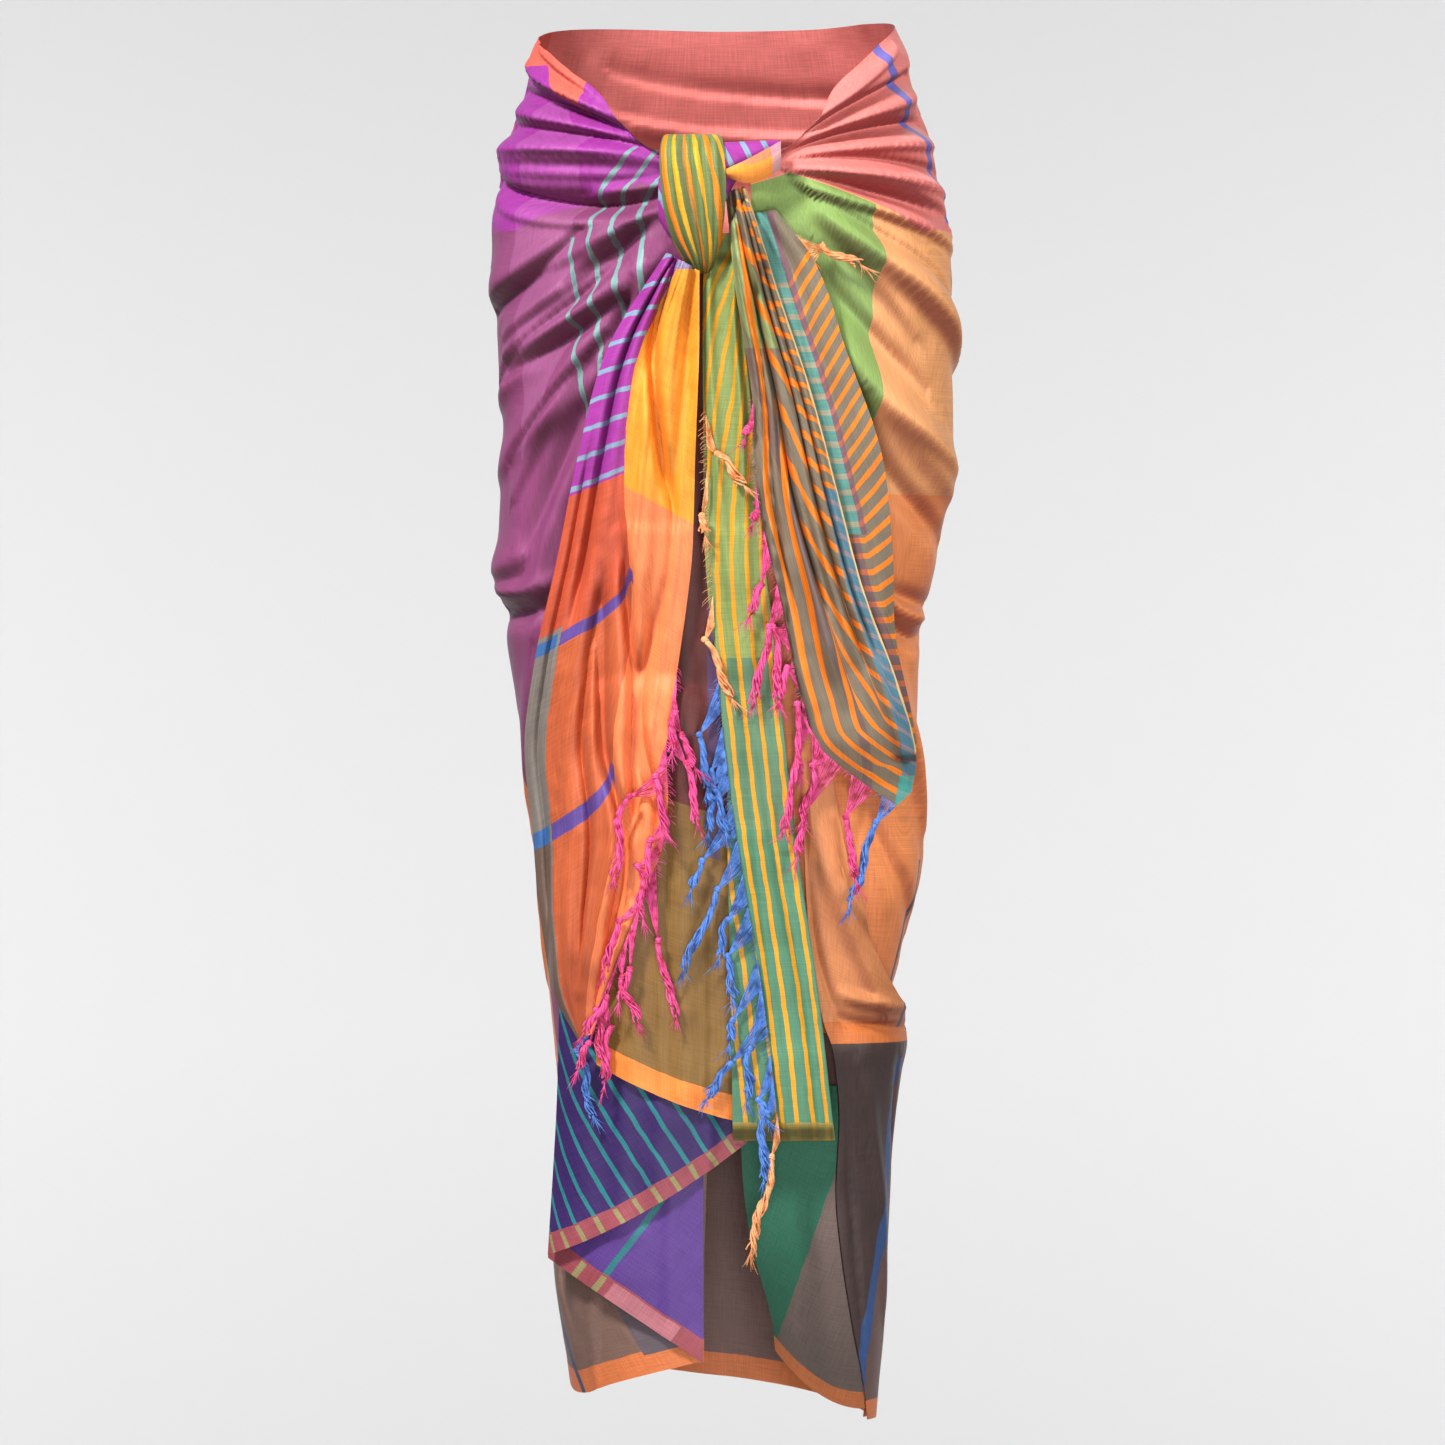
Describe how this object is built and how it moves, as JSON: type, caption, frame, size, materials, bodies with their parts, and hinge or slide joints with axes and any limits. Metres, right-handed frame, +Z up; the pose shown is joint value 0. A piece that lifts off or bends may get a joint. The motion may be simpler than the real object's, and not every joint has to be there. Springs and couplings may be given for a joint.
{
  "type": "longyi sarong",
  "caption": "Wrapped longyi sarong cloth tied at the front, a hollow form with a ribbed knot, two hanging tails, zigzag falls and a tasselled edge.",
  "frame": {"origin": "on the middle line of the wearer's hips at the height of the knot, where the tied cloth is held", "axes": "+Z up, -Y towards the front where the knot is, +X towards the viewer's right seen from the front"},
  "size_m": [0.3738, 0.3003, 1.1035],
  "materials": {
    "wrap_cloth": "plain-woven silk and cotton, shot plum and magenta, soft sheen",
    "wrap_cloth_orange": "plain-woven silk and cotton, coral to orange, soft sheen",
    "fall_cloth": "plain-woven silk and cotton in colour blocks with contrasting hem bands",
    "tail_cloth": "plain-woven silk and cotton with stripes, folded and creased",
    "striped_cloth": "plain-woven silk and cotton, green and grey with narrow orange stripes",
    "thread_pink": "knotted loose threads, pink",
    "thread_blue": "knotted loose threads, blue",
    "thread_peach": "knotted loose threads, peach"
  },
  "bodies": {
    "root": {"back_wrap": "wrap_cloth", "left_hip_wrap": "wrap_cloth", "right_hip_wrap": "wrap_cloth_orange", "right_fall": "wrap_cloth_orange", "right_fall_turn": "fall_cloth", "left_fall_purple": "fall_cloth", "left_fall_striped": "fall_cloth", "left_fall_ochre": "fall_cloth", "centre_fall": "striped_cloth", "left_tail": "tail_cloth", "right_tail": "striped_cloth", "right_tail_turn": "striped_cloth", "knot_core": "wrap_cloth", "knot_band": "striped_cloth", "knot_tuck": "tail_cloth", "fringe_left_pink": "thread_pink", "fringe_left_blue": "thread_blue", "fringe_centre_peach": "thread_peach", "fringe_centre_blue": "thread_blue", "fringe_centre_tip": "thread_peach", "fringe_hip_peach": "thread_peach", "fringe_right_pink": "thread_pink", "fringe_right_blue": "thread_blue"}
  },
  "joints": []
}
